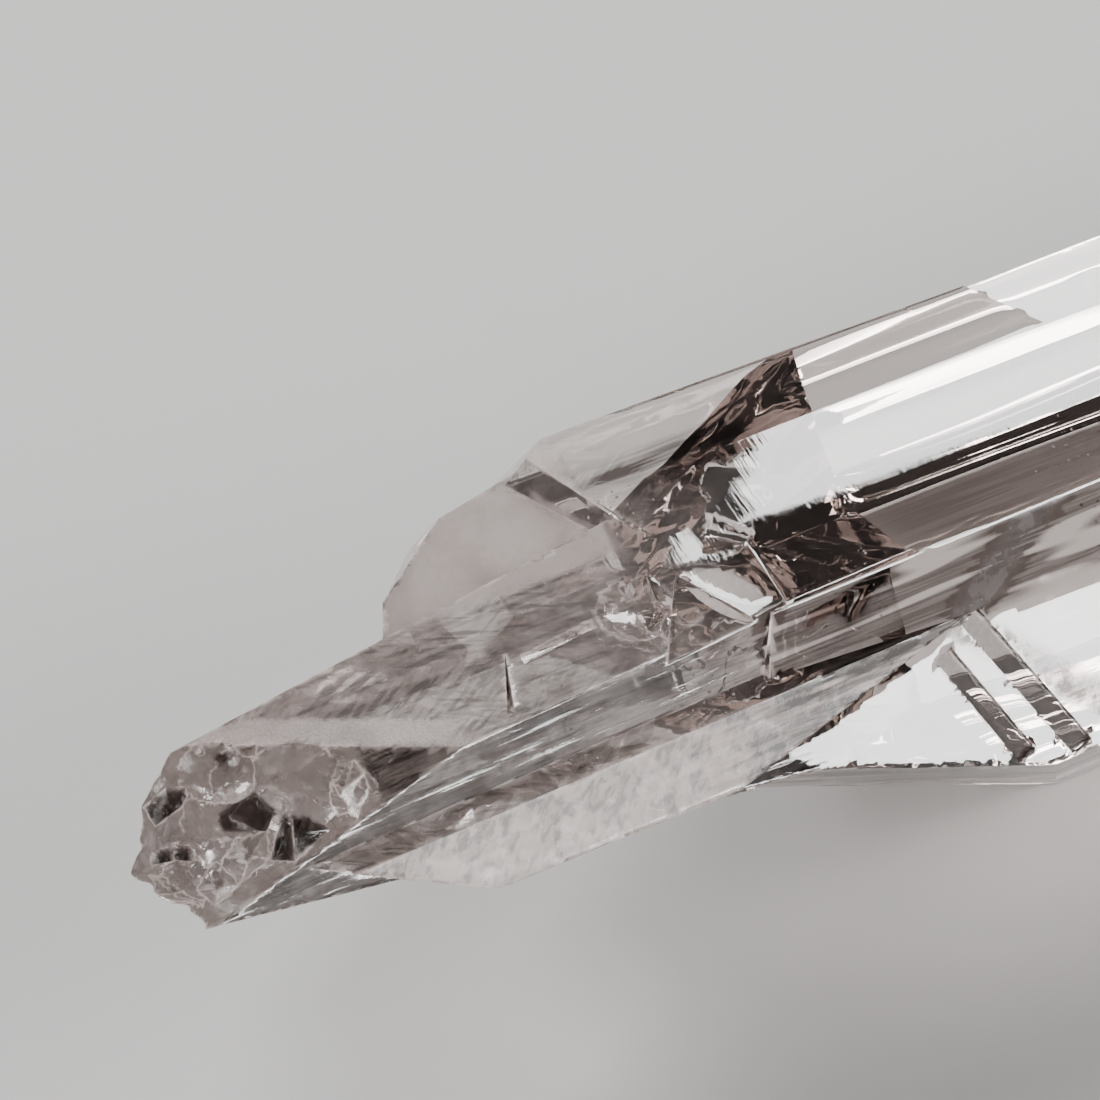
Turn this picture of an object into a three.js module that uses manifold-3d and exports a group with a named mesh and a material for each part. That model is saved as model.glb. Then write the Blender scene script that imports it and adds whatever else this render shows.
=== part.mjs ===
// A lemurian quartz point, lying on one of its prism faces.
//
// The crystal is one piece of clear quartz: a long hexagonal prism with a rhombohedral tip, a
// narrower stem at its base end that grew parallel to it, a stepped plate behind the stem, a
// wedge-shaped rib along the stem's front, and a rough break where it left the rock.
//
// Units are millimetres. While it is drawn, the prism's long axis is X, its tip points to +X and
// the axis runs through the origin. A face is named by its turn about that axis (0 faces the
// viewer at -Y, 90 faces up) and by its tilt, the lean of its normal towards the tip.

import * as THREE from "three";
import { ConvexGeometry } from "three/addons/geometries/ConvexGeometry.js";
import { mergeVertices } from "three/addons/utils/BufferGeometryUtils.js";
import Module from "manifold-3d";

const wasm = await Module();
wasm.setup();

const APOTHEM = 12.4; // centre of the prism to each of its faces
const TIP_X = 96; // where the point ends
const EDGE_Y = APOTHEM * Math.tan(Math.PI / 6); // half the width of one prism face
const RHOMB_TILT = 38.2; // the lean of a quartz rhombohedron's faces
const TAPER = 0.8; // how much the lower faces lean in towards the tip, in degrees
const RIB_PROUD = 0.9; // how far the rib stands out of the stem's front face
const LAYER_TOP = 12.62; // height of the low growth layer at the back edge
const LAYER_RISE = 2.8; // how much that layer's top slopes up to the back, in degrees
const STEM_RISE = 0.6; // how much the stem's top climbs towards the break, in degrees
const BOWL_FINENESS = 1.5; // subdivisions of a bowl-shaped chip for each millimetre of radius
const FACE_BREAK = 3; // how much the top face's front strip turns towards the viewer, in degrees
const CREST = 0.35; // how far the front face stands proud along its lengthwise crest
const CREST_DROP = 4.6; // how far down the front face the crest lies from the ridge

// Where the stem's front ridge runs, from the break to the prism's own ridge, and the far end of
// the line where the stem's front face meets the prism's.
const RIDGE_START = point(-9.57, -8.28, 12.57);
const RIDGE_END = point(6.9, -7.14, APOTHEM);
const FRONT_SEAM = point(8.92, -9.32, 8.65);

// The slanting face that the break started as, before it chipped.
const BREAK_CORNERS = [RIDGE_START, point(-21.7, -2.14, 12.7), point(-21.76, -9.96, 10.6)];
const BREAK_FACE = faceThrough(...BREAK_CORNERS, point(0, 0, 0));
const STEM_TOP = face(90, STEM_RISE, RIDGE_END);

function point(x, y, z) {
  return new THREE.Vector3(x, y, z);
}

// The outward normal of a face from its turn and tilt in degrees.
function facing(turn, tilt = 0) {
  const a = THREE.MathUtils.degToRad(turn);
  const t = THREE.MathUtils.degToRad(tilt);
  return point(Math.sin(t), -Math.cos(t) * Math.cos(a), Math.cos(t) * Math.sin(a));
}

// A plane of the given turn and tilt through one point of the face.
function face(turn, tilt, through) {
  return new THREE.Plane().setFromNormalAndCoplanarPoint(facing(turn, tilt), through);
}

// A prism face's plane at its full distance from the axis.
function prismFace(turn, tilt = 0) {
  return face(turn, tilt, facing(turn).multiplyScalar(APOTHEM));
}

// The plane through three points of a face, facing away from the point named inside.
function faceThrough(a, b, c, inside) {
  const plane = new THREE.Plane().setFromCoplanarPoints(a, b, c);
  return plane.distanceToPoint(inside) > 0 ? plane.negate() : plane;
}

// A point of a prism face: how far along the axis and how far across the face's middle line.
function onFace(turn, along, across) {
  const a = THREE.MathUtils.degToRad(turn);
  const middle = facing(turn).multiplyScalar(APOTHEM);
  return middle.add(point(along, across * Math.sin(a), across * Math.cos(a)));
}

// A point of an upward face from its x and y, or one that lies below the face by a depth.
function under(plane, x, y, depth = 0) {
  const { normal, constant } = plane;
  const z = -(constant + normal.x * x + normal.y * y) / normal.z;
  return point(x, y, z).addScaledVector(normal, -depth);
}

// A closed geometry as a solid that can be joined and cut.
function solidOf(geometry) {
  const bare = geometry.index ? geometry.toNonIndexed() : geometry.clone();
  bare.deleteAttribute("normal");
  bare.deleteAttribute("uv");
  const merged = mergeVertices(bare, 1e-4);
  return new wasm.Manifold(
    new wasm.Mesh({
      numProp: 3,
      vertProperties: new Float32Array(merged.attributes.position.array),
      triVerts: new Uint32Array(merged.index.array),
    }),
  );
}

function geometryOf(solid) {
  const mesh = solid.getMesh();
  const geometry = new THREE.BufferGeometry();
  const position = new Float32Array(mesh.vertProperties);
  geometry.setAttribute("position", new THREE.BufferAttribute(position, 3));
  geometry.setIndex(new THREE.BufferAttribute(new Uint32Array(mesh.triVerts), 1));
  return geometry;
}

// The convex solid that lies behind every one of the planes. Each plane maps to one point of a
// dual solid about the centre, and each face of the dual's hull maps back to a corner.
function behind(centre, planes) {
  const duals = planes.map((plane, i) => {
    const gap = -plane.distanceToPoint(centre);
    if (gap <= 0) throw new Error(`the centre isn't behind face ${i}`);
    return plane.normal.clone().divideScalar(gap);
  });
  const hull = new ConvexGeometry(duals).getAttribute("position");
  const corners = [];
  for (let i = 0; i < hull.count; i += 3) {
    const [a, b, c] = [0, 1, 2].map((k) => point().fromBufferAttribute(hull, i + k));
    const dual = new THREE.Plane().setFromCoplanarPoints(a, b, c);
    const corner = dual.normal.clone().divideScalar(-dual.constant).add(centre);
    if (!corners.some((other) => other.distanceTo(corner) < 1e-3)) corners.push(corner);
  }
  return solidOf(new ConvexGeometry(corners));
}

// A repeatable stream of numbers from 0 to 1, for spacings that shouldn't look even.
function scatter(seed) {
  let state = seed;
  return () => {
    state = (state * 1664525 + 1013904223) % 4294967296;
    return state / 4294967296;
  };
}

// The main prism, with its rhombohedral tip and the slanting faces of its base end.
function mainPrism() {
  const inside = point(40, 0, 0);
  const tipFace = (turn, past) => face(turn, RHOMB_TILT, point(TIP_X + past, 0, 0));
  const lowCorner = point(24.91, -6.36, -APOTHEM);
  const plateEnd = [point(2.5, 5, APOTHEM), point(4.8, 0.15, APOTHEM), point(1.2, 4.4, 10.4)];
  const crest = onFace(30, 18, EDGE_Y - CREST_DROP).addScaledVector(facing(30), CREST);
  const crestFarther = onFace(30, 31, EDGE_Y - CREST_DROP - 1).addScaledVector(facing(30), CREST);
  return behind(inside, [
    prismFace(90),
    face(90 - FACE_BREAK, 0, onFace(90, 0, -EDGE_Y / 3)),
    faceThrough(onFace(30, 0, EDGE_Y), crest, crestFarther, inside),
    faceThrough(onFace(30, 0, -EDGE_Y), crest, crestFarther, inside),
    prismFace(-30, TAPER),
    prismFace(-90),
    prismFace(-150, TAPER),
    prismFace(150),
    tipFace(30, 0),
    tipFace(150, 0.8),
    tipFace(-90, 0.3),
    tipFace(90, 2.8),
    tipFace(-30, 2.2),
    tipFace(-150, 4),
    faceThrough(...plateEnd, inside),
    face(150, -31, point(2.8, EDGE_Y, APOTHEM)),
    face(-36.8, -19, lowCorner),
    faceThrough(lowCorner, point(10.81, -5.18, -5.8), point(20.5, 7.2, -APOTHEM), inside),
    face(-150, -24, point(21, 9, -9.5)),
    face(0, -62, point(-3, 0, 3)),
  ]);
}

// A low growth layer that rises gently to the prism's back edge and ends in a small slanted step.
function backLayer() {
  const inside = point(15, 6, 11);
  const end = [point(2.5, 5, LAYER_TOP), point(4.8, 0.15, LAYER_TOP), point(1.2, 4.4, 10.6)];
  return behind(inside, [
    face(90 - LAYER_RISE, 0, point(2.8, 7.76, LAYER_TOP)),
    face(150, 1.3, point(2.8, 7.76, LAYER_TOP)),
    face(150, -31, point(2.8, 7.76, LAYER_TOP)),
    faceThrough(...end, inside),
    face(120, 40, point(27, 7.2, APOTHEM)),
    face(-90, 0, point(0, 0, 0)),
    face(0, 0, point(0, 1, 10)),
  ]);
}

// The plate behind the stem, a step lower than it, whose edge makes the notched shoulder.
function backPlate() {
  const top = 11.3;
  return behind(point(-1, 1, 6), [
    face(90, -5.5, point(2.5, 5, top)),
    face(30, 0, point(0, -6, 9)),
    face(-45, -10, point(0, -6.5, 0)),
    face(-90, -26, point(8, 0, -4.5)),
    face(-150, -26, point(3, 8.5, -3)),
    face(-150, -60, point(-8.44, 3.2, 10.5)),
    face(150, -9.3, point(1.5, 7.4, top)),
    face(150, -32.8, point(-3.5, 6.4, top)),
    face(150, -57, point(-8.5, 2.65, top)),
    face(0, 90, point(6, 0, 0)),
  ]);
}

// The stem: the narrow parallel crystal that runs from the main prism to the break. The break
// starts as one slanting face, and the chips are cut into it afterwards.
function stem() {
  const inside = point(-12, -5.5, 8);
  const endTop = point(-22.37, -2.01, 12.4);
  const endBack = point(-24.84, -3.78, 11.7);
  const endLeft = point(-27, -6.8, 10.75);
  const endLow = point(-24.9, -10.85, 9.85);
  return behind(inside, [
    STEM_TOP,
    face(98, STEM_RISE, point(1.7, -0.54, 12.46)),
    faceThrough(RIDGE_START, RIDGE_END, FRONT_SEAM, inside),
    BREAK_FACE,
    face(150, -6.9, point(-10.3, -0.28, 12.4)),
    faceThrough(endTop, endBack, point(-20, -2.2, 4), inside),
    faceThrough(endBack, endLeft, point(-21, -4.5, 3.4), inside),
    faceThrough(endLeft, endLow, point(-19.5, -6.5, 3.5), inside),
    faceThrough(endLow, point(3.89, -11.6, 5), point(-10, -6.2, 1.4), inside),
    face(-90, -18, point(-8, -5, 1.2)),
    face(-155, -14, point(-10, 1.2, 4)),
    face(0, 90, point(9, 0, 0)),
  ]);
}

// The rib along the stem's front: a strip with a ledge on top, closing to a point on the prism.
function frontRib() {
  const inside = point(0, -8.5, 5.5);
  const stemFront = faceThrough(RIDGE_START, RIDGE_END, FRONT_SEAM, inside);
  const front = stemFront.clone().translate(stemFront.normal.clone().multiplyScalar(RIB_PROUD));
  const rimStart = point(-9.84, -12.67, 6.41);
  const rimEnd = point(3.6, -12.2, 5.8);
  return behind(inside, [
    front,
    face(75, 2.8, point(-10.4, -10.5, 10.1)),
    faceThrough(rimStart, rimEnd, point(-2, -8, 0.5), inside),
    faceThrough(rimEnd, point(17.1, -9.7, 8.7), point(8, -7, 2), inside),
    faceThrough(rimStart, point(-17.6, -11, 10.3), point(-10, -8.5, 3), inside),
    face(-150, 0, point(0, -5, 2)),
    face(150, 0, point(0, -5, 9)),
  ]);
}

// A bowl-shaped chip, as brittle stone breaks: a ball that dips below the surface at one point.
// It is turned by its own place, so that no two chips show the same facets.
function bowl(at, normal, radius, depth) {
  const ball = new THREE.IcosahedronGeometry(radius, Math.round(1 + BOWL_FINENESS * radius));
  ball.rotateX(at.x).rotateY(2 * at.y);
  const centre = normal.clone().multiplyScalar(radius - depth).add(at);
  return solidOf(ball.translate(centre.x, centre.y, centre.z));
}

// An angular chip in an upward face: flat facets that run from the corners of its opening to its
// lowest point, which is given with its depth.
function pit(plane, lowest, ...corners) {
  const rim = corners.map(([x, y]) => under(plane, x, y));
  const lid = corners.map(([x, y]) => under(plane, x, y, -1));
  return solidOf(new ConvexGeometry([under(plane, ...lowest), ...rim, ...lid]));
}

// A groove with one gentle and one steep side, from one point of a face to another.
function stepGroove(from, to, normal, width, depth) {
  const along = to.clone().sub(from);
  const length = along.length();
  along.normalize();
  const lean = Math.asin(depth / width);
  const blade = new THREE.BoxGeometry(width, length, 1);
  blade.translate(-width / 2, 0, 0.5).rotateY(-lean).translate(0, 0, -depth);
  const side = along.clone().cross(normal).normalize();
  blade.applyMatrix4(new THREE.Matrix4().makeBasis(side, along, normal));
  const middle = from.clone().add(to).multiplyScalar(0.5);
  return solidOf(blade.translate(middle.x, middle.y, middle.z));
}

// The cross-wise growth steps of a prism face, like the rungs of a ladder. Some run from edge to
// edge, and others stop part of the way across.
function ladder(turn, start, end, deepest, seed, tilt = 0) {
  const next = scatter(seed);
  const slope = Math.tan(THREE.MathUtils.degToRad(tilt));
  const reach = EDGE_Y + 1;
  const rungEnd = () => (next() < 0.6 ? reach : 0.6 * reach * next());
  const rungs = [];
  for (let x = start + next(); x < end; x += 1.6 + 3.4 * next()) {
    const sunk = facing(turn).multiplyScalar(-x * slope);
    const from = onFace(turn, x, -rungEnd()).add(sunk);
    const to = onFace(turn, x + 0.15, rungEnd()).add(sunk);
    const width = 0.5 + 0.8 * next();
    rungs.push(stepGroove(from, to, facing(turn, tilt), width, deepest * (0.5 + 0.5 * next())));
  }
  return rungs;
}

// The break at the base end: bowls and angular pits in its slanting face.
function breakChips() {
  const bowls = [
    [-21.1, -4.1, 3.2, 0.6],
    [-20.7, -4.4, 2, 0.75],
    [-17.9, -6.4, 6.5, 0.5],
    [-22, -6.5, 7, 0.35],
    [-24.9, -8.3, 3.4, 0.25],
    [-15.9, -7.5, 3.2, 0.3],
  ];
  const pits = [
    [[-20.2, -7.3, 1], [-21.9, -5.7], [-19.6, -5.6], [-19, -6.9], [-20.1, -7.8], [-22.2, -6.6]],
    [[-21.2, -8.3, 0.7], [-22.2, -6.6], [-20.1, -7.8], [-20.6, -9.1], [-22.8, -9.6], [-23, -7.9]],
    [[-19.6, -8.8, 0.9], [-18.9, -7.1], [-18.7, -7.8], [-19.5, -9.8], [-20.6, -9.2]],
    [[-18.6, -8.3, 0.8], [-18.6, -7.3], [-17.9, -7.8], [-17.3, -9.1], [-19.5, -9.8]],
    [[-15.7, -7.4, 0.5], [-16.6, -6.4], [-14.7, -6.5], [-14.5, -7.3], [-15.8, -9.2], [-16.5, -8.2]],
    [[-24, -4.4, 1.1], [-25, -4], [-23.6, -3.6], [-22.8, -4], [-23.4, -4.8], [-25.1, -5.1]],
    [[-25.2, -6.7, 0.7], [-25.7, -6.2], [-24.8, -6.4], [-24.8, -7.1], [-25.9, -6.8]],
    [[-24.3, -7, 0.7], [-24.6, -6.4], [-23.9, -6.7], [-24.1, -7.6], [-24.8, -7.1]],
    [[-25.5, -8.4, 0.5], [-26.3, -7.2], [-24.6, -8.7], [-25, -9.8], [-26.4, -8.2]],
    [[-23.8, -9, 0.6], [-23, -7.9], [-22.8, -9.6], [-24.5, -10], [-24.8, -8.8]],
    [[-21.2, -2.7, 0.4], [-21.8, -2.6], [-21.1, -2.4], [-20.7, -2.7], [-21.1, -3.2]],
    [[-20.2, -3.2, 0.4], [-20.6, -2.9], [-19.9, -3.1], [-20, -3.6], [-20.7, -3.4]],
    [[-19.2, -3.7, 0.5], [-19.7, -3.2], [-18.6, -3.6], [-18.9, -4.2], [-19.6, -3.9]],
  ];
  return [
    ...bowls.map(([x, y, ...shape]) => bowl(under(BREAK_FACE, x, y), BREAK_FACE.normal, ...shape)),
    ...pits.map((corners) => pit(BREAK_FACE, ...corners)),
  ];
}

// Small nicks along the prism's front ridge.
function ridgeNicks() {
  const next = scatter(11);
  const nicks = [];
  for (let x = 9; x < 74; x += 1.5 + 6 * next()) {
    const at = point(x, -EDGE_Y - 0.02, APOTHEM);
    nicks.push(bowl(at, facing(60 + 30 * (next() - 0.5)), 0.5 + 0.7 * next(), 0.12 + 0.2 * next()));
  }
  return nicks;
}

// The layered chip in the stem's top, a shallow lengthwise slot beside it, the small facet at the
// bend of the stem's ridge, a short crack and the two narrow bands that cross the prism's front
// face aslant.
function topDetails() {
  const up = facing(90);
  const front = facing(30);
  const facet = [point(4.83, -3.15, 12.44), point(7.3, -7.9, 12.02), point(1.8, -8.1, 11.98)];
  const crack = [point(-4.97, -3.65, 12.6), point(-6.75, -7.5, 12.5), point(-6.35, -7.5, 12.5)];
  const above = (points) => points.concat(points.map((p) => p.clone().add(point(0, 0, 1.5))));
  return [
    bowl(point(2.1, -4.3, 12.45), up, 7, 0.3),
    pit(STEM_TOP, [2.4, -3.1, 0.75], [1.9, -2.5], [3.3, -2.5], [3.1, -3.4], [1.7, -3.6]),
    pit(STEM_TOP, [3.5, -3.7, 0.7], [3.5, -2.6], [3.8, -3.3], [3.7, -4.5], [2.9, -4.1]),
    pit(STEM_TOP, [1, -3.6, 0.55], [0.9, -3], [1.6, -3.6], [1.2, -4.2], [0.5, -3.7]),
    pit(STEM_TOP, [2.3, -5.2, 0.75], [1.8, -3.8], [2.9, -4.3], [3.3, -5.2], [2.4, -6.4], [1.3, -4.8]),
    pit(STEM_TOP, [4.2, -5.9, 0.5], [3.6, -4.8], [5.3, -5], [5.6, -6.2], [3.9, -6.7], [3.1, -6]),
    pit(STEM_TOP, [-1.5, -4.3, 0.3], [-4.5, -4.4], [-0.3, -3.8], [-0.4, -4.4], [-4.5, -4.9]),
    solidOf(new ConvexGeometry(above(facet))),
    solidOf(new ConvexGeometry(above(crack.concat(point(-5.9, -5.8, 11.9))))),
    stepGroove(point(15.85, -10.2, 7.1), point(19.1, -13.7, 1.1), front, 1.05, 0.14),
    stepGroove(point(17.6, -9.5, 8.3), point(22.1, -14.1, 0.4), front, 1.2, 0.15),
  ];
}

// Broad bowls underneath the stem, where it pressed against its neighbours.
function underneathBowls() {
  return [
    bowl(point(-14, -6.5, 3.6), facing(-70, -30), 9, 0.6),
    bowl(point(-4, -6.5, 0.6), facing(-80, -24), 8, 0.6),
    bowl(point(-20, -7, 5.6), facing(-65, -40), 7, 0.6),
    bowl(point(12, 2, -8), facing(-95, -25), 10, 0.8),
    bowl(point(4, 7, -3), facing(-140, -30), 7, 0.7),
  ];
}

const cutFrom = (solid, cut) => solid.subtract(cut);
const prism = ladder(90, 36, 80, 0.05, 3).reduce(cutFrom, mainPrism());
const grown = prism.add(backLayer()).add(backPlate()).add(stem()).add(frontRib());
const cuts = [
  ...breakChips(),
  ...ridgeNicks(),
  ...topDetails(),
  ...underneathBowls(),
  ...ladder(-30, 42, 82, 0.16, 5, TAPER),
  ...ladder(-150, 42, 82, 0.2, 8, TAPER),
];
const crystal = cuts.reduce(cutFrom, grown);

const quartz = new THREE.MeshStandardMaterial({ color: 0xe9dedb, roughness: 0.08, metalness: 0 });
const mesh = new THREE.Mesh(geometryOf(crystal), quartz);
mesh.name = "quartz_point";

// The part's own origin is under the middle of its box, on the surface that it lies on.
const box = new THREE.Box3().setFromObject(mesh);
const middle = box.getCenter(point());
mesh.position.set(-middle.x, -middle.y, -box.min.z);

const group = new THREE.Group();
group.add(mesh);

export default group;
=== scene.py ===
"""A lemurian quartz point, dressed for a studio photograph."""

import math
import random

import bmesh
import bpy
from bpy.props import FloatProperty, FloatVectorProperty, PointerProperty
from mathutils import Matrix, Vector, geometry, noise
from mathutils.bvhtree import BVHTree


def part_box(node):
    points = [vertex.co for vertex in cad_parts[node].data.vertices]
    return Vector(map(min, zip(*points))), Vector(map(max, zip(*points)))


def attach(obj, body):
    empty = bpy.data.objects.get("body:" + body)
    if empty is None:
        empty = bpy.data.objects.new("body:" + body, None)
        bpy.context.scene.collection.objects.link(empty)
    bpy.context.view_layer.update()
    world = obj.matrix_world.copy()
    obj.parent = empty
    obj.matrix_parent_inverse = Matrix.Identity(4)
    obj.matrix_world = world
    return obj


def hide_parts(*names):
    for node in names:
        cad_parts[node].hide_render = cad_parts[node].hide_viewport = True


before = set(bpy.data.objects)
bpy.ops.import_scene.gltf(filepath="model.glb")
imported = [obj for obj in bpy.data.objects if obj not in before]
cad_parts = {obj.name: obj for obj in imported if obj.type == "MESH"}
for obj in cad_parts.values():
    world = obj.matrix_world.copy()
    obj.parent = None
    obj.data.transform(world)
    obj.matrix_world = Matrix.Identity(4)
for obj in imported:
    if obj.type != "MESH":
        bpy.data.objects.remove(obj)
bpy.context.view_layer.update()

bl_info = {
    "name": "Lemurian quartz point",
    "version": (1, 0, 0),
    "blender": (4, 5, 0),
    "location": "View3D > Sidebar > Quartz",
    "description": "Dresses a quartz point with growth lines, fractures and clear quartz",
    "category": "Object",
}

MM = 0.001
NODE = "quartz_point"
BODY = "root"

# The crystal is described in its own axes and in millimetres: the long axis is X, and a face is
# named by its turn about it, 90 facing up and 0 facing -Y. AXIS_START is that axis's own zero in
# the frame, in metres.
APOTHEM = 12.4
TIP_TO_ZERO = 96.37
AXIS_Y = -0.43
NODE_LOW, NODE_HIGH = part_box(NODE)
AXIS_START = Vector((NODE_HIGH.x - TIP_TO_ZERO * MM, AXIS_Y * MM, APOTHEM * MM))


def at(x, y, z):
    """A place given in millimetres from the crystal's own zero, in the frame."""
    return AXIS_START + Vector((x, y, z)) * MM


def spot(point):
    """A point of the frame in the crystal's own millimetres."""
    return (point - AXIS_START) / MM


def facing(turn, tilt=0.0):
    """The outward normal of a face from its turn about the long axis and its lean to the tip."""
    a, t = math.radians(turn), math.radians(tilt)
    return Vector((math.sin(t), -math.cos(t) * math.cos(a), math.cos(t) * math.sin(a)))


class Face:
    """A flat face of the crystal, through three of its points."""

    def __init__(self, a, b, c):
        self.normal = geometry.normal(Vector(a), Vector(b), Vector(c))
        if self.normal.dot(Vector(a)) < 0.0:
            self.normal.negate()
        self.distance = self.normal.dot(Vector(a))

    def depth(self, place):
        """How far a place lies below the face."""
        return self.distance - self.normal.dot(place)


# The stem's front ridge, its front face, the rib that stands out of it, and the broken face.
RIDGE_START = (-9.57, -8.28, 12.57)
RIDGE_END = (6.9, -7.14, 12.4)
BREAK_BACK = (-21.7, -2.14, 12.7)
STEM_FRONT = Face(RIDGE_START, RIDGE_END, (8.92, -9.32, 8.65))
BREAK_FACE = Face(RIDGE_START, BREAK_BACK, (-21.76, -9.96, 10.6))
RIB_PROUD = 0.9
# Between these places along the crystal the rough break gives way to a finely lined face.
BREAK_FADE = (-14.5, -14.1)

# How far along the crystal the surface is made finer, in millimetres
FINE_END = 32.0
FLUTED_END = 45.0
# Corners closer than this, in metres, count as one, and edges bent more than this stay sharp.
WELD = 2e-6
FLAT_BEND = math.radians(0.3)
SHARP_BEND = 0.22


# Shader maths as Python expressions


class Value:
    """A number's socket in a node tree, on which arithmetic adds Math nodes."""

    def __init__(self, tree, socket):
        self.tree = tree
        self.socket = socket

    def _math(self, operation, a, b=0.0, c=0.0):
        node = self.tree.nodes.new("ShaderNodeMath")
        node.operation = operation
        for place, value in enumerate((a, b, c)):
            if isinstance(value, Value):
                self.tree.links.new(value.socket, node.inputs[place])
            else:
                node.inputs[place].default_value = value
        return Value(self.tree, node.outputs[0])

    def __add__(self, other):
        return self._math("ADD", self, other)

    __radd__ = __add__

    def __mul__(self, other):
        return self._math("MULTIPLY", self, other)

    __rmul__ = __mul__

    def __sub__(self, other):
        return self._math("SUBTRACT", self, other)

    def __rsub__(self, other):
        return self._math("SUBTRACT", other, self)

    def above(self, low, high):
        """0 below low, 1 above high and a smooth rise between them."""
        node = self.tree.nodes.new("ShaderNodeMapRange")
        node.interpolation_type = "SMOOTHSTEP"
        self.tree.links.new(self.socket, node.inputs["Value"])
        node.inputs["From Min"].default_value = low
        node.inputs["From Max"].default_value = high
        return Value(self.tree, node.outputs["Result"])


class Shader:
    """A material's node tree, built by name."""

    def __init__(self, name):
        self.material = bpy.data.materials.new(name)
        self.material.use_nodes = True
        self.tree = self.material.node_tree
        self.tree.nodes.clear()

    def add(self, kind, settings=None, output=0, **inputs):
        """Adds a node: its settings are set first, then its sockets' values or links."""
        node = self.tree.nodes.new(kind)
        for key, setting in (settings or {}).items():
            setattr(node, key, setting)
        for key, value in inputs.items():
            socket = node.inputs[int(key) if key.isdigit() else key.replace("_", " ")]
            if isinstance(value, Value):
                self.tree.links.new(value.socket, socket)
            else:
                socket.default_value = value
        return Value(self.tree, node.outputs[output])

    def attribute(self, name):
        return self.add("ShaderNodeAttribute", {"attribute_name": name}, "Fac")

    def object_point(self):
        return self.add("ShaderNodeTexCoord", None, "Object")

    def stretched(self, point, lengths, turn=(0, 0, 0)):
        """Turns a pattern, and makes it so many times longer along each of its axes."""
        return self.add(
            "ShaderNodeMapping", {"vector_type": "TEXTURE"}, 0,
            Vector=point, Scale=lengths, Rotation=turn,
        )

    def noise(self, point, scale, detail=4.0, roughness=0.5, distortion=0.0):
        return self.add(
            "ShaderNodeTexNoise", None, 0, Vector=point, Scale=scale, Detail=detail,
            Roughness=roughness, Distortion=distortion,
        )

    def finish(self, **outputs):
        node = self.tree.nodes.new("ShaderNodeOutputMaterial")
        for name, value in outputs.items():
            self.tree.links.new(value.socket, node.inputs[name])

    def mix_colour(self, factor, a, b):
        node = self.tree.nodes.new("ShaderNodeMix")
        node.data_type = "RGBA"
        for place, value in ((0, factor), (6, a), (7, b)):
            if isinstance(value, Value):
                self.tree.links.new(value.socket, node.inputs[place])
            else:
                node.inputs[place].default_value = value
        return Value(self.tree, node.outputs[2])


# Sizes and colours that a user would change


def length(name, description, millimetres):
    return FloatProperty(
        name=name, description=description, default=millimetres * MM, unit="LENGTH", precision=5,
    )


class CrystalSettings(bpy.types.PropertyGroup):
    cell: length("Cell", "Size of the surface's coarsest cells", 0.8)
    waviness: length("Waviness", "How far the crystal's faces are from flat", 0.035)
    flute_depth: length("Flute depth", "Depth of the lengthwise flutes of the lower faces", 0.24)
    step_depth: length("Step depth", "Depth of the finer cross-wise growth steps", 0.03)
    line_depth: length("Line depth", "Depth of the lengthwise lines along the stem", 0.018)
    break_depth: length("Break depth", "Depth of the break's fine terraces", 0.07)
    rim_depth: length("Rim depth", "Depth of the lumps around the break's rim", 0.55)
    tint: FloatVectorProperty(
        name="Tint", description="Colour of the quartz's surface", subtype="COLOR", size=4,
        default=(0.985, 0.962, 0.95, 1.0),
    )
    frost_tint: FloatVectorProperty(
        name="Frost tint", description="Colour of the frosted places", subtype="COLOR", size=4,
        default=(0.72, 0.60, 0.56, 1.0),
    )
    # The shade tint is also the colour that the painted shade of the windows, the stem's front,
    # the bars, the upper front strip and the top's patches darkens towards.
    shade_tint: FloatVectorProperty(
        name="Shade tint", description="Colour of the deep lines and windows", subtype="COLOR",
        size=4, default=(0.032, 0.023, 0.020, 1.0),
    )
    depth_tint: FloatVectorProperty(
        name="Depth tint", description="Colour that light keeps deep inside the quartz",
        subtype="COLOR", size=4, default=(0.735, 0.62, 0.58, 1.0),
    )
    absorption: FloatProperty(
        name="Absorption", description="Absorption density of the quartz, per metre", default=26.0,
    )
    refraction: FloatProperty(
        name="Refraction", description="Quartz's index of refraction", default=1.544,
    )


class FractureSettings(bpy.types.PropertyGroup):
    bubble: length("Bubble", "Radius of the largest hollows in a veil", 0.09)
    crack_width: length("Crack width", "Thickness of a fracture's gap", 0.02)
    crack_wave: length("Crack wave", "How far a fracture curves", 0.3)


class StageSettings(bpy.types.PropertyGroup):
    floor_colour: FloatVectorProperty(
        name="Floor", description="Colour of the floor", subtype="COLOR", size=4,
        default=(0.62, 0.61, 0.60, 1.0),
    )
    azimuth: FloatProperty(
        name="Azimuth", description="Where the camera stands, round the crystal",
        default=math.radians(-27.0), subtype="ANGLE",
    )
    elevation: FloatProperty(
        name="Elevation", description="How steeply the camera looks down",
        default=math.radians(50.0), subtype="ANGLE",
    )
    view_width: FloatProperty(
        name="View width", description="Width of the picture at the crystal",
        default=55.0 * MM, unit="LENGTH",
    )
    focal_length: FloatProperty(
        name="Focal length", description="The camera's focal length in millimetres", default=300.0,
    )


# The crystal's surface


def smooth_step(value, low, high):
    t = min(1.0, max(0.0, (value - low) / (high - low)))
    return t * t * (3.0 - 2.0 * t)


def noise_at(place, x, y, z, seed=0.0):
    """Smooth noise from -1 to 1, with its own number of waves per millimetre along each axis."""
    return noise.noise(Vector((place.x * x + seed, place.y * y - seed, place.z * z)))


def level_with(depth):
    """1 at places on a face, from their depth below it in millimetres."""
    return 1.0 - smooth_step(abs(depth), 0.04, 0.12)


def level_top(normal):
    """1 on faces that lie level and look up."""
    return smooth_step(normal.z, 0.97, 0.99)


def past_break_edge(place):
    """How far a place lies past the break's upper edge, seen from above, in millimetres."""
    start, end = Vector(RIDGE_START).xy, Vector(BREAK_BACK).xy
    return (end - start).normalized().cross(place.xy - start)


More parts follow.
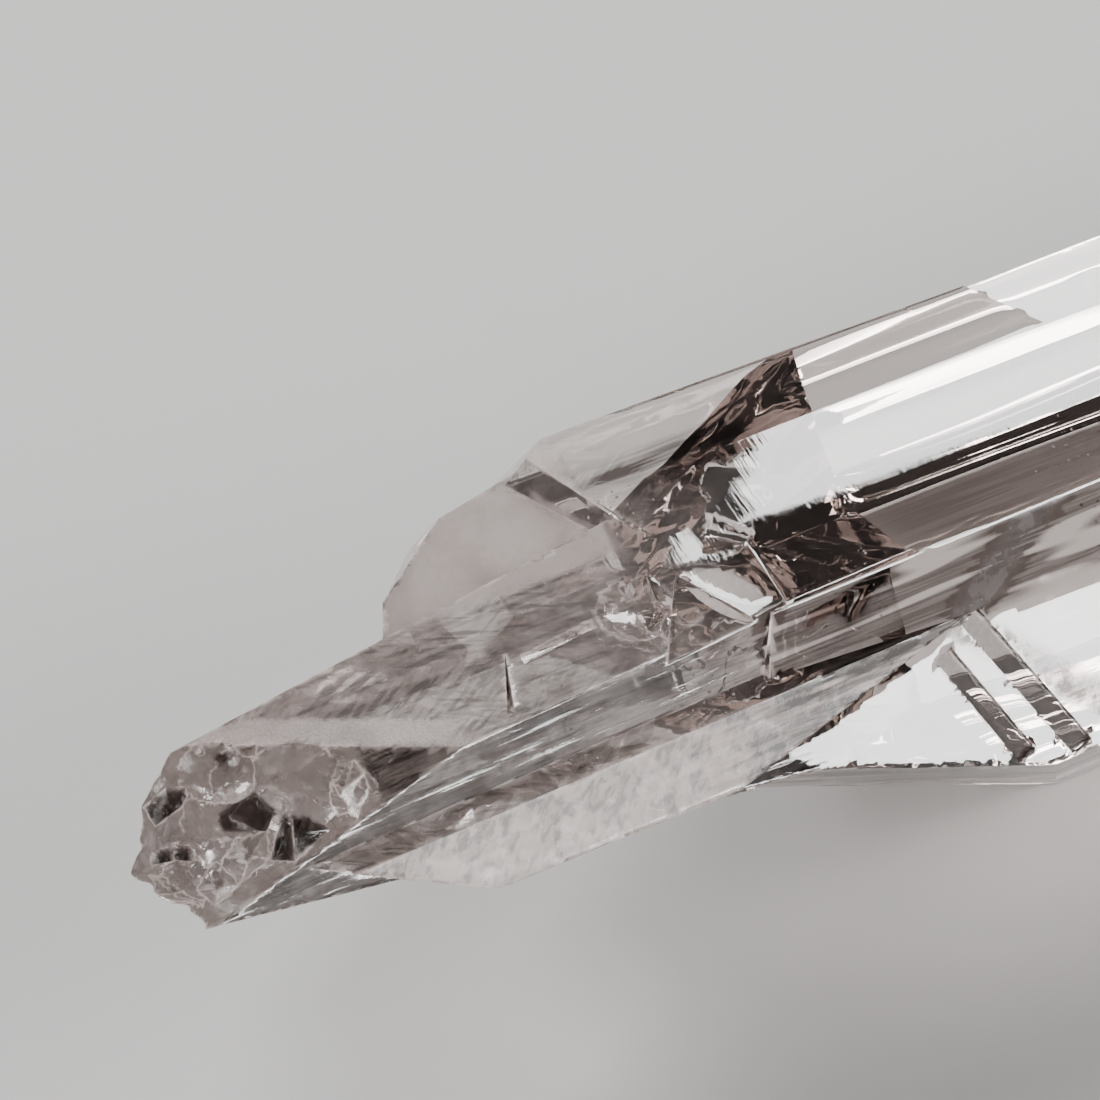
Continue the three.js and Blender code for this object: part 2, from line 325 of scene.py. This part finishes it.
def broken(place, normal):
    """1 on the broken end of the stem, 0 on the crystal's grown faces."""
    past = past_break_edge(place)
    upper = smooth_step(past, -0.1, 0.1) * smooth_step(STEM_FRONT.depth(place), 0.05, 0.25)
    upper *= smooth_step(normal.z, 0.0, 0.2) * (1.0 - smooth_step(place.x, *BREAK_FADE))
    end_face = smooth_step(-normal.x, 0.3, 0.5) * smooth_step(-place.x, 18.0, 20.0)
    return max(upper, end_face)


def on_lined_break(place, normal):
    """1 on the part of the break's slanting face that stayed whole and finely lined."""
    level = level_with(BREAK_FACE.depth(place)) * smooth_step(place.x, *BREAK_FADE)
    return level * smooth_step(past_break_edge(place), -0.1, 0.1)


def on_front(place, normal, proud):
    """1 on faces that are parallel to the stem's front and stand so far out of it."""
    level = level_with(STEM_FRONT.depth(place) + proud)
    return level * smooth_step(normal.dot(STEM_FRONT.normal), 0.9, 0.97)


def on_stem_front(place, normal):
    """1 on the stem's striated front face, above the rib."""
    return on_front(place, normal, 0.0)


def on_rib_front(place, normal):
    """1 on the front of the rib."""
    return on_front(place, normal, RIB_PROUD)


def on_lined_top(place, normal):
    """1 where the stem's top carries lengthwise lines, beside its front ridge."""
    along = smooth_step(place.x, -8.0, -6.0) * (1.0 - smooth_step(place.x, 0.0, 1.5))
    across = smooth_step(-place.y, 2.2, 3.2)
    return along * across * level_top(normal)


def on_sandy_top(place, normal):
    """1 on the sandy strip of the stem's top along the edge of the break."""
    past = past_break_edge(place)
    strip = smooth_step(past, -1.9, -1.5) * (1.0 - smooth_step(past, -0.1, 0.1))
    return strip * level_top(normal) * (1.0 - smooth_step(place.x, -11.0, -8.0))


def on_plate(place, normal):
    """1 on the plate behind the stem and on the slanting end of the prism's top."""
    behind = smooth_step(place.y, -0.6, -0.2) * smooth_step(place.x, -10.5, -9.8)
    return behind * (1.0 - smooth_step(place.x, 2.0, 4.0)) * smooth_step(normal.z, 0.8, 0.9)


BARS = (
    # both ends of the slanted bars on the front face, and their width, in millimetres
    ((15.85, -10.2, 7.1), (19.1, -13.7, 1.1), 1.05),
    ((17.6, -9.5, 8.3), (22.1, -14.1, 0.4), 1.2),
)


def barred(place, normal):
    """1 on the two slanted bars that cross the prism's lower front face."""
    share = 0.0
    for start, end, width in BARS:
        start, end = Vector(start), Vector(end)
        along = (end - start).normalized()
        across = facing(30).cross(along).dot(place - start)
        half = width / 2.0
        within = 1.0 - smooth_step(abs(across - half), half - 0.15, half + 0.1)
        lengthwise = smooth_step((place - start).dot(along), -0.2, 0.1)
        share = max(share, within * lengthwise)
    return share * smooth_step(normal.dot(facing(30)), 0.9, 0.95)


def upper_strip_with_painted_shade(place, normal):
    """1 on the prism's upper front strip, whose colour is darkened there as painted shade, between
    lighter streaks that stand for bright reflections.
    """
    upper = smooth_step(place.z, 8.3, 9.0) * smooth_step(place.x, 6.9, 7.3)
    return smooth_step(normal.dot(facing(42)), 0.95, 0.98) * upper


def fluted(place, normal):
    """How deep the lengthwise flutes are: most on the prism's lower and back faces."""
    under = smooth_step(-normal.z, -0.1, 0.3) * smooth_step(place.x, -8.0, -4.0)
    back = smooth_step(normal.y, 0.6, 0.8) * smooth_step(place.x, 5.0, 9.0)
    top = 0.1 * level_top(normal) * smooth_step(place.x, 5.0, 9.0)
    return max(under, back, 0.3 * upper_strip_with_painted_shade(place, normal), top)


def flutes(place):
    """Rounded lengthwise grooves from 0 to 1, which bend the light into long streaks."""
    broad = noise_at(place, 0.012, 0.32, 0.32, 13.0)
    narrow = noise_at(place, 0.02, 0.9, 0.9, 23.0)
    return min(1.0, max(0.0, 0.5 + 0.6 * broad + 0.18 * narrow))


def milky(place, normal):
    """How cloudy the stem and the plate are, from 1 down to 0 on the clear prism."""
    drift = 2.5 * noise_at(place, 0.2, 0.3, 0.3, 31.0)
    return 1.0 - smooth_step(place.x + drift, -3.0, 9.0)


# Streaky patches of painted shade in the prism's top, where it would look dark from the depth it
# shows.
TOP_SHADE_PATCHES = (
    # middle, half length and half width in millimetres, and strength, seen from above
    ((8.8, 3.8), 6.5, 1.5, 1.0),
    ((24.0, 1.7), 9.0, 0.8, 0.9),
    ((23.0, -4.9), 11.0, 2.2, 0.6),
)


def painted_top_shade(place, normal):
    """How strong the painted shade in the streaky patches of the prism's top is."""
    drift = 0.35 * noise_at(place, 0.12, 0.9, 0.9, 61.0)
    share = 0.0
    for middle, long, wide, strength in TOP_SHADE_PATCHES:
        x, y = place.xy - Vector(middle)
        reach = math.hypot(x / long, y / wide) + drift
        share = max(share, strength * (1.0 - smooth_step(reach, 0.5, 1.1)))
    return share * level_top(normal)


WINDOWS = (
    # corners of the break's windows in millimetres, seen from above, whose colour is darkened as
    # painted shade
    ((-21.9, -5.7), (-19.6, -5.6), (-19.0, -6.9), (-20.1, -7.8), (-22.2, -6.6)),
    ((-18.9, -7.1), (-18.7, -7.8), (-19.5, -9.8), (-20.6, -9.2)),
    ((-18.6, -7.3), (-17.9, -7.8), (-17.3, -9.1), (-19.3, -9.6)),
    ((-25.0, -4.0), (-23.6, -3.6), (-22.8, -4.0), (-23.4, -4.8), (-25.1, -5.1)),
    ((-25.7, -6.2), (-24.8, -6.4), (-24.8, -7.1), (-25.9, -6.8)),
    ((-24.6, -6.4), (-23.9, -6.7), (-24.1, -7.6), (-24.8, -7.1)),
    ((-20.6, -2.9), (-19.9, -3.1), (-20.0, -3.6), (-20.7, -3.4)),
)


def depth_within(corners, place):
    """How far a place lies within a convex outline whose corners run clockwise."""
    points = [Vector(corner) for corner in corners]
    sides = zip(points, points[1:] + points[:1])
    return min((place - a).cross((b - a).normalized()) for a, b in sides)


def painted_window_shade(place, normal):
    """1 in the break's windows, whose colour is darkened as painted shade."""
    within = max(depth_within(corners, place.xy) for corners in WINDOWS)
    return smooth_step(within, 0.0, 0.15) * broken(place, normal)


LADDER_TURNS = (90, -30, -150)


def laddered(normal):
    """1 on the faces that carry cross-wise growth steps."""
    return max(smooth_step(normal.dot(facing(turn)), 0.93, 0.985) for turn in LADDER_TURNS)


def step_height(x, seed):
    """A height from 0 to 1 that changes in sudden steps along the crystal."""
    coarse = noise.cell(Vector((x * 0.55 + seed, seed, 0.0)))
    fine = noise.cell(Vector((x * 1.7 + seed, 0.0, seed)))
    return 0.6 * coarse + 0.4 * fine


def terraces(height, count):
    """Turns a height from 0 to 1 into flat levels with short slopes between them."""
    level = height * count
    whole = math.floor(level)
    return (whole + smooth_step(level - whole, 0.75, 1.0)) / count


def lengthwise_lines(place):
    """Ridges from 0 to 1 that run along the crystal, as on the stem's front."""
    coarse = noise_at(place, 0.07, 0.9, 1.5)
    fine = noise_at(place, 0.14, 2.0, 3.4, 7.0)
    finer = noise_at(place, 0.3, 0.5, 3.8, 11.0)
    return min(1.0, max(0.0, 0.5 + 0.5 * coarse + 0.45 * fine + 0.3 * finer))


def break_relief(place):
    """The terraces and rough patches of broken quartz, from 0 to 1."""
    strike = Vector((-18.5, -1.5, 12.0))
    phase = 4.2 * (place - strike).length + 3.0 * noise_at(place, 0.5, 0.5, 0.5)
    ripple = 0.5 + 0.5 * math.sin(phase)
    bend = 0.5 + 0.5 * noise_at(place, 0.55, 0.7, 0.8, 3.0)
    patch = smooth_step(noise_at(place, 0.6, 0.6, 0.6, 9.0), 0.05, 0.3)
    grit = 0.5 + 0.5 * noise_at(place, 2.6, 2.6, 2.6, 5.0)
    return 0.6 * terraces(bend, 3) + 0.12 * ripple + 0.28 * patch * grit


def rim_lumps(place):
    """How far the broken end's rim is chipped back, from 0 to 1."""
    large = noise_at(place, 0.15, 0.8, 0.9, 51.0)
    small = noise_at(place, 0.3, 2.2, 2.4, 53.0)
    lump = min(1.0, max(0.0, 0.4 + 0.8 * large + 0.5 * small))
    return lump * smooth_step(-place.x, 20.5, 23.5)


def relief(place, normal, settings):
    """How far a point of the surface sinks below the solid's own faces, in metres."""
    fracture = broken(place, normal)
    grown = 1.0 - fracture
    wave = 0.5 + 0.5 * noise_at(place, 0.09, 0.26, 0.26)
    steps = step_height(place.x + 0.12 * place.y, 3.0) * laddered(normal)
    lines = max(on_stem_front(place, normal), on_lined_break(place, normal))
    lines += 0.7 * on_lined_top(place, normal)
    return (
        settings.waviness * wave * grown
        + settings.flute_depth * flutes(place) * fluted(place, normal)
        + settings.step_depth * steps * grown * smooth_step(place.x, 34.0, 40.0)
        + settings.line_depth * lengthwise_lines(place) * lines
        + settings.break_depth * break_relief(place) * fracture
    )


def cut_bands(bm, axis, pitch, wanted):
    """Cuts the faces that pass a test with planes across one axis, at whole steps of the pitch."""
    faces = [f for f in bm.faces if wanted(spot(f.calc_center_median()), f.normal)]
    corners = list({v for f in faces for v in f.verts})
    piece = faces + list({e for f in faces for e in f.edges}) + corners
    low = min(v.co[axis] for v in corners)
    high = max(v.co[axis] for v in corners)
    across = Vector((0, 0, 0))
    across[axis] = 1.0
    for step in range(math.ceil(low / pitch), math.floor(high / pitch) + 1):
        cut = bmesh.ops.bisect_plane(
            bm, geom=piece, dist=WELD, plane_co=across * (step * pitch), plane_no=across,
        )
        piece = cut["geom"]


def cut_cells(bm, pitch, wanted):
    """Cuts the faces that pass a test into square cells."""
    cut_bands(bm, 0, pitch, wanted)
    cut_bands(bm, 1, pitch, lambda place, normal: abs(normal.z) > 0.6 and wanted(place, normal))
    cut_bands(bm, 2, pitch, lambda place, normal: abs(normal.z) <= 0.6 and wanted(place, normal))


MARKS = {
    "broken": broken,
    "striated": lambda place, normal: max(
        on_stem_front(place, normal), on_lined_break(place, normal),
        0.5 * on_lined_top(place, normal),
    ),
    "feathered": on_rib_front,
    "raked": lambda place, normal: on_rib_front(place, normal) * smooth_step(place.x, 0.0, 8.0),
    "sandy": on_sandy_top,
    "hazy": on_plate,
    "laddered": lambda place, normal: laddered(normal),
    "milky": milky,
    "painted_window_shade": painted_window_shade,
    "barred": barred,
    "upper_strip_with_painted_shade": upper_strip_with_painted_shade,
    "painted_top_shade": painted_top_shade,
}


def refine_surface(bm, settings):
    """Gives the solid's faces small cells and their fine relief, and marks each kind of face."""
    cell = settings.cell
    bmesh.ops.remove_doubles(bm, verts=bm.verts[:], dist=WELD)
    bmesh.ops.dissolve_limit(
        bm, angle_limit=FLAT_BEND, verts=bm.verts[:], edges=bm.edges[:],
    )
    cut_cells(bm, cell, lambda place, normal: True)
    cut_cells(bm, cell / 2, lambda place, normal: place.x < FINE_END and normal.z > -0.2)
    cut_cells(bm, cell / 4, lambda place, normal: broken(place, normal) > 0.5)
    cut_bands(bm, 1, cell / 2, lambda place, normal: place.x < FLUTED_END and normal.z < -0.6)
    cut_bands(
        bm, 2, cell / 2,
        lambda place, normal: place.x < FLUTED_END and abs(normal.z + 0.4) <= 0.2,
    )
    for axis in (0, 2):
        cut_bands(bm, axis, cell / 4, lambda place, normal: barred(place, normal) > 0.1)
    cut_bands(bm, 2, cell / 8, lambda place, normal: on_stem_front(place, normal) > 0.5)
    cut_bands(bm, 2, cell / 4, lambda place, normal: on_rib_front(place, normal) > 0.5)
    cut_bands(bm, 1, cell / 8, lambda place, normal: on_lined_top(place, normal) > 0.2)
    bm.normal_update()
    sharp = [e for e in bm.edges if len(e.link_faces) == 2 and e.calc_face_angle() > SHARP_BEND]
    places = [spot(v.co) for v in bm.verts]
    normals = [v.normal.copy() for v in bm.verts]
    for name, mark in MARKS.items():
        layer = bm.verts.layers.float.new(name)
        for vert, place, normal in zip(bm.verts, places, normals):
            vert[layer] = mark(place, normal)
    edged = bm.verts.layers.float.new("edged")
    for vert in {v for e in sharp for v in e.verts}:
        vert[edged] = 1.0
    for vert, place, normal in zip(bm.verts, places, normals):
        vert.co -= normal * relief(place, normal, settings)
        vert.co.x += settings.rim_depth * rim_lumps(place)
        vert.co = Vector(min(max(c, a), b) for c, a, b in zip(vert.co, NODE_LOW, NODE_HIGH))
    for edge in sharp:
        edge.smooth = False


def quartz_material(settings):
    """Clear quartz: glossy faces with growth lines, frosted strips and a glassy break, with
    painted shade where the faces would look dark and painted highlight streaks in the upper front
    strip.
    """
    shader = Shader("clear_quartz")
    point = shader.object_point()
    fracture = shader.attribute("broken")
    striated = shader.attribute("striated")
    feathered = shader.attribute("feathered")
    raked = shader.attribute("raked")
    sandy = shader.attribute("sandy")
    hazy = shader.attribute("hazy")
    ladder = shader.attribute("laddered")
    milk = shader.attribute("milky")
    window_shade = shader.attribute("painted_window_shade")
    edge = shader.attribute("edged")
    bar = shader.attribute("barred")
    upper_strip_shade = shader.attribute("upper_strip_with_painted_shade")
    top_shade = shader.attribute("painted_top_shade")

    cross = shader.noise(shader.stretched(point, (1.0, 16.0, 16.0)), 4200.0, 2.0, 0.6)
    lines = shader.noise(shader.stretched(point, (40.0, 1.0, 1.0)), 6500.0, 2.0, 0.6)
    bands = shader.noise(shader.stretched(point, (20.0, 1.0, 1.0)), 1500.0, 3.0, 0.65)
    left = shader.noise(
        shader.stretched(point, (9.0, 1.0, 1.0), (0.0, 0.0, 0.55)), 3000.0, 2.0, 0.6,
    )
    right = shader.noise(
        shader.stretched(point, (9.0, 1.0, 1.0), (0.0, 0.0, -0.4)), 2400.0, 2.0, 0.6,
    )
    fans = shader.noise(
        shader.stretched(point, (1.0, 1.0, 9.0), (0.0, 0.6, 0.0)), 2400.0, 3.0, 0.65, 0.5,
    )
    grit = shader.noise(point, 6500.0, 2.0, 0.7)
    patches = shader.noise(shader.stretched(point, (2.0, 1.0, 1.0)), 420.0, 1.0, 0.5)
    clouds = shader.noise(point, 650.0, 3.0, 0.6)
    highlight_streak_noise = shader.noise(shader.stretched(point, (14.0, 1.0, 1.0)), 480.0, 2.0, 0.5)

    whole = 1.0 - fracture
    patch = patches.above(0.46, 0.54)
    chevrons = left * patch + right * (1.0 - patch)
    streaks = lines.above(0.4, 0.6) * 0.5 + bands.above(0.42, 0.6) * 0.5
    top = milk * whole * (1.0 - hazy) * (1.0 - striated) * (1.0 - feathered) * (1.0 - sandy)
    rough_patch = clouds.above(0.5, 0.65) * fracture
    # thin streaks where the upper strip's painted shade is lifted, as painted highlights
    painted_highlight_streaks = highlight_streak_noise.above(0.46, 0.49) * (1.0 - highlight_streak_noise.above(0.53, 0.56))
    height = (
        cross * ladder * 0.03 + lines * striated * 0.12 + grit * (fracture * 0.25 + sandy * 0.6)
    )
    bump = shader.add(
        "ShaderNodeBump", None, 0, Strength=0.6, Distance=0.00006, Height=height,
    )
    # How far the surface colour darkens: partly the quartz's own varied tone, partly painted
    # shade, as marked below.
    shade = (
        # painted shade in the break's windows, where the light leaves the quartz
        # painted shade on the stem's striated front, darker and lighter along its growth lines
        window_shade * 0.93 + striated * (0.6 + streaks * 0.38)
        + hazy * (0.3 + clouds.above(0.4, 0.7) * 0.12)
        + feathered * (bands.above(0.48, 0.6) * 0.12 + clouds.above(0.45, 0.6) * 0.2)
        + feathered * fans.above(0.42, 0.6) * clouds.above(0.4, 0.54) * 0.45
        + raked * (bands.above(0.44, 0.54) * 0.45 + lines.above(0.42, 0.58) * 0.3)
        + top * (0.12 + chevrons.above(0.47, 0.57) * 0.42 + bands.above(0.46, 0.6) * 0.3)
        + sandy * (0.22 + grit.above(0.45, 0.6) * 0.25)
        + fracture * (1.0 - window_shade) * (0.14 + clouds.above(0.46, 0.66) * 0.36)
        # painted shade on the two bars of the lower front face, which would reflect less light
        + bar * (0.4 + grit.above(0.4, 0.6) * 0.15)
        # painted shade on the upper front strip, lifted along thin streaks as painted highlights
        + upper_strip_shade * (0.97 - painted_highlight_streaks * 0.85) * (0.9 + lines.above(0.4, 0.6) * 0.1)
        # painted shade in streaky patches of the prism's top
        + top_shade * (0.3 + bands.above(0.42, 0.54) * 0.45 + lines.above(0.4, 0.6) * 0.2)
    )
    roughness = (
        0.015 + milk * 0.03 + hazy * 0.25 + sandy * 0.3 + striated * 0.02
        + feathered * (0.1 + clouds.above(0.4, 0.6) * 0.25) + rough_patch * 0.2
    )
    clear = shader.add(
        "ShaderNodeBsdfPrincipled", None, 0,
        Base_Color=shader.mix_colour(shade, settings.tint, settings.shade_tint),
        Roughness=roughness, IOR=settings.refraction, Transmission_Weight=1.0, Normal=bump,
    )
    frost = shader.add(
        "ShaderNodeBsdfPrincipled", None, 0,
        Base_Color=shader.mix_colour(shade, settings.frost_tint, settings.shade_tint),
        Roughness=0.35, IOR=settings.refraction, Normal=bump,
    )
    share = (
        0.01 + milk * (0.15 + clouds.above(0.35, 0.7) * 0.2) * (1.0 - window_shade) + hazy * 0.3
        + sandy * (0.25 + grit.above(0.45, 0.6) * 0.3)
        + feathered * (0.5 - fans.above(0.38, 0.66) * 0.12 - clouds.above(0.42, 0.6) * 0.2)
        + striated * streaks * 0.14 + top * chevrons.above(0.4, 0.6) * 0.15
        + edge * milk * clouds.above(0.35, 0.5) * 0.55 + bar * 0.15
    )
    surface = shader.add("ShaderNodeMixShader", None, 0, **{"0": share, "1": clear, "2": frost})
    volume = shader.add(
        "ShaderNodeVolumeAbsorption", None, 0,
        Color=settings.depth_tint, Density=settings.absorption,
    )
    shader.finish(Surface=surface, Volume=volume)
    return shader.material


# Fractures and veils inside the crystal


def thin_gap(bm, centre, normal, radii, settings, seed):
    """A fracture: a thin, gently curved gap with parallel sides and a ragged rim."""
    made = bmesh.ops.create_icosphere(bm, subdivisions=4, radius=1.0)["verts"]
    for vert in made:
        unit = vert.co.copy()
        angle = math.atan2(unit.y, unit.x)
        rim = noise.noise(Vector((1.6 * math.cos(angle), 1.6 * math.sin(angle), seed)))
        rim += 0.5 * noise.noise(Vector((5.0 * math.cos(angle), 5.0 * math.sin(angle), seed)))
        ragged = 1.0 + 0.4 * rim
        x, y = unit.x * ragged * radii[0], unit.y * ragged * radii[1]
        curve = noise.noise(Vector((x, y, seed * MM)) * 420.0)
        thick = min(1.0, 4.0 * (1.0 - unit.xy.length)) * settings.crack_width / 2.0
        side = 1.0 if unit.z > 0.0 else -1.0
        vert.co = Vector((x, y, side * thick + settings.crack_wave * curve))
    turn = normal.to_track_quat("Z", "X").to_matrix().to_4x4()
    bmesh.ops.transform(bm, matrix=Matrix.Translation(centre) @ turn, verts=made)


def lies_inside(solid, point, margin):
    """Whether a point lies inside the crystal, at least a margin below its surface."""
    nearest, normal, _, distance = solid.find_nearest(point)
    return (point - nearest).dot(normal) < 0.0 and distance > margin


def veil(bm, solid, centre, normal, radii, count, settings, seed):
    """A healed fracture: a curved sheet of tiny flat hollows."""
    rng = random.Random(seed)
    turn = normal.to_track_quat("Z", "X").to_matrix().to_4x4()
    sheet = Matrix.Translation(centre) @ turn
    for _ in range(count):
        x, y = rng.gauss(0.0, 0.45) * radii[0], rng.gauss(0.0, 0.45) * radii[1]
        lift = 0.5 * MM * noise.noise(Vector((x, y, seed * MM)) * 300.0)
        radius = settings.bubble * (0.25 + 0.75 * rng.random() ** 3)
        shape = Matrix.Diagonal((0.7 + rng.random(), 0.7 + rng.random(), 0.35, 1.0))
        spin = Matrix.Rotation(rng.random() * math.tau, 4, "Z")
        place = sheet @ Matrix.Translation((x, y, lift)) @ spin @ shape
        if lies_inside(solid, place.translation, 2.0 * radius):
            bmesh.ops.create_icosphere(bm, subdivisions=1, radius=radius, matrix=place)


CRACKS = (
    # centre in millimetres, turn, tilt, half length and half width in millimetres
    ((-20.5, -5.6, 8.9), 60, -30, 3.0, 1.9),
    ((-17.5, -7.4, 9.2), 35, 25, 2.2, 1.4),
    ((-23.4, -6.4, 9.2), 80, 40, 1.6, 1.2),
    ((-14.5, -5.5, 9.6), 100, 15, 3.2, 1.7),
    ((1.6, -4.2, 11.2), 84, -12, 2.0, 1.4),
    ((2.2, -4.9, 10.7), 78, 14, 1.7, 1.2),
    ((3.2, -5.6, 10.4), 66, 24, 1.6, 1.0),
    ((-5.6, -5.2, 10.9), 10, 60, 1.5, 0.9),
    ((6.5, -6.2, 6.4), 40, -20, 2.4, 1.4),
    ((11.0, 2.5, 6.5), 110, 12, 4.2, 1.8),
)

VEILS = (
    # centre in millimetres, turn, tilt, half length and half width in millimetres, hollows
    ((-3.5, -8.6, 7.6), 30, 4, 7.0, 2.2, 170),
    ((4.0, -8.2, 7.0), 45, -15, 4.0, 1.8, 90),
    ((-15.0, -7.6, 9.4), 50, 10, 5.0, 1.6, 90),
    ((13.5, -6.0, 8.5), 20, 30, 4.0, 2.2, 70),
    ((2.5, 2.5, 9.0), 75, -25, 4.5, 2.2, 70),
    ((30.0, -1.0, 2.0), 55, 35, 6.0, 3.5, 80),
    ((58.0, 2.0, -2.0), 120, 48, 8.0, 4.0, 90),
)


def make_hollows(solid, fractures):
    """All the gaps and veils as one mesh, whose faces look into the hollows."""
    bm = bmesh.new()
    for i, (centre, turn, tilt, long, wide) in enumerate(CRACKS):
        normal = facing(turn, tilt)
        thin_gap(bm, at(*centre), normal, (long * MM, wide * MM), fractures, float(i))
    mesh = bpy.data.meshes.new("hollows")
    bm.to_mesh(mesh)
    bm.free()
    for i, (centre, turn, tilt, long, wide, count) in enumerate(VEILS):
        bm = bmesh.new()
        normal = facing(turn, tilt)
        radii = (long * MM, wide * MM)
        veil(bm, solid, at(*centre), normal, radii, count, fractures, 100 + i)
        bm.from_mesh(mesh)
        bm.to_mesh(mesh)
        bm.free()
    mesh.flip_normals()
    return mesh


def build_crystal(settings, fractures):
    bm = bmesh.new()
    bm.from_mesh(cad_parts[NODE].data)
    refine_surface(bm, settings)
    hollows = make_hollows(BVHTree.FromBMesh(bm), fractures)
    bm.from_mesh(hollows)
    bpy.data.meshes.remove(hollows)
    for face in bm.faces:
        face.smooth = True
    mesh = bpy.data.meshes.new("crystal")
    bm.to_mesh(mesh)
    bm.free()
    crystal = bpy.data.objects.new("crystal", mesh)
    bpy.context.scene.collection.objects.link(crystal)
    mesh.materials.append(quartz_material(settings))
    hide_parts(NODE)
    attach(crystal, BODY)
    return crystal


class QUARTZ_OT_crystal(bpy.types.Operator):
    """Builds the crystal's fine surface, its fractures and its material"""

    bl_idname = "quartz.crystal"
    bl_label = "Crystal"

    def execute(self, context):
        build_crystal(context.scene.quartz_crystal, context.scene.quartz_fractures)
        return {"FINISHED"}


# Floor, lights and camera


FLOOR_REACH = 4.0
WORLD_COLOUR, WORLD_STRENGTH = (0.30, 0.29, 0.29, 1.0), 0.10
MIDDLE = Vector((0.0, 0.0, 0.012))
VIEW_MIDDLE = at(0.0, 1.14, 12.4)
# The sheen and front softboxes stand where the prism's top and its lower front face mirror them to
# the camera. Each faces its own point, at a distance in metres.
TOP_SHINE, FRONT_SHINE = at(77.0, 6.0, 12.4), at(34.0, -13.0, 4.0)
TOP_MIRRORED, FRONT_MIRRORED = Vector((0.29, 0.573, 0.766)), Vector((0.29, -0.955, 0.02))
SOFTBOXES = (
    # name, place, the point it faces, width and height in metres, and power in watts
    ("sheen_softbox", TOP_SHINE + TOP_MIRRORED * 0.30, TOP_SHINE, (0.10, 0.055), 0.5),
    ("key_softbox", Vector((-0.30, 0.55, 0.45)), MIDDLE, (0.35, 0.30), 7.0),
    ("side_softbox", Vector((-0.50, -0.30, 0.35)), MIDDLE, (0.20, 0.20), 1.2),
    ("front_softbox", FRONT_SHINE + FRONT_MIRRORED * 0.45, FRONT_SHINE, (0.30, 0.05), 2.0),
    ("fill_softbox", Vector((0.50, -0.40, 0.50)), MIDDLE, (0.40, 0.30), 2.5),
)


def plain_material(name, colour, roughness):
    shader = Shader(name)
    point = shader.object_point()
    mottle = shader.noise(point, 60.0, 3.0)
    tone = shader.mix_colour(mottle * 0.04, colour, (0.5, 0.5, 0.5, 1.0))
    surface = shader.add(
        "ShaderNodeBsdfPrincipled", None, 0, Base_Color=tone, Roughness=roughness,
    )
    shader.finish(Surface=surface)
    return shader.material


def add_floor(settings):
    bm = bmesh.new()
    bmesh.ops.create_grid(bm, x_segments=1, y_segments=1, size=FLOOR_REACH)
    mesh = bpy.data.meshes.new("floor")
    bm.to_mesh(mesh)
    bm.free()
    floor = bpy.data.objects.new("floor", mesh)
    bpy.context.scene.collection.objects.link(floor)
    mesh.materials.append(plain_material("pale_floor", settings.floor_colour, 0.6))


def add_softbox(name, place, target, size, power):
    light = bpy.data.lights.new(name, "AREA")
    light.shape = "RECTANGLE"
    light.size, light.size_y = size
    light.energy = power
    lamp = bpy.data.objects.new(name, light)
    lamp.location = place
    lamp.rotation_euler = (target - place).to_track_quat("-Z", "Y").to_euler()
    bpy.context.scene.collection.objects.link(lamp)


def add_world():
    world = bpy.data.worlds.new("studio")
    world.use_nodes = True
    background = world.node_tree.nodes["Background"]
    background.inputs["Color"].default_value = WORLD_COLOUR
    background.inputs["Strength"].default_value = WORLD_STRENGTH
    bpy.context.scene.world = world


def add_camera(settings):
    a, e = settings.azimuth, settings.elevation
    back = Vector((math.sin(a) * math.cos(e), -math.cos(a) * math.cos(e), math.sin(e)))
    camera = bpy.data.cameras.new("camera")
    camera.lens = settings.focal_length
    distance = settings.view_width * camera.lens / camera.sensor_width
    camera.clip_start = distance * 0.05
    camera.clip_end = distance * 50.0
    holder = bpy.data.objects.new("camera", camera)
    holder.location = VIEW_MIDDLE + back * distance
    holder.rotation_euler = (-back).to_track_quat("-Z", "Y").to_euler()
    bpy.context.scene.collection.objects.link(holder)
    bpy.context.scene.camera = holder


class QUARTZ_OT_stage(bpy.types.Operator):
    """Adds the pale floor, the soft lights and the camera"""

    bl_idname = "quartz.stage"
    bl_label = "Stage"

    def execute(self, context):
        settings = context.scene.quartz_stage
        add_floor(settings)
        for softbox in SOFTBOXES:
            add_softbox(*softbox)
        add_world()
        add_camera(settings)
        return {"FINISHED"}


class QUARTZ_PT_panel(bpy.types.Panel):
    bl_idname = "QUARTZ_PT_panel"
    bl_label = "Quartz point"
    bl_space_type = "VIEW_3D"
    bl_region_type = "UI"
    bl_category = "Quartz"

    def draw(self, context):
        for operator in (QUARTZ_OT_crystal, QUARTZ_OT_stage):
            self.layout.operator(operator.bl_idname)


SETTINGS = {
    "quartz_crystal": CrystalSettings,
    "quartz_fractures": FractureSettings,
    "quartz_stage": StageSettings,
}
CLASSES = (
    CrystalSettings,
    FractureSettings,
    StageSettings,
    QUARTZ_OT_crystal,
    QUARTZ_OT_stage,
    QUARTZ_PT_panel,
)


def register():
    for item in CLASSES:
        bpy.utils.register_class(item)
    for name, group in SETTINGS.items():
        setattr(bpy.types.Scene, name, PointerProperty(type=group))


def unregister():
    for name in SETTINGS:
        delattr(bpy.types.Scene, name)
    for item in reversed(CLASSES):
        bpy.utils.unregister_class(item)


def main():
    register()
    bpy.ops.quartz.stage()
    bpy.ops.quartz.crystal()


if __name__ == "__main__":
    main()
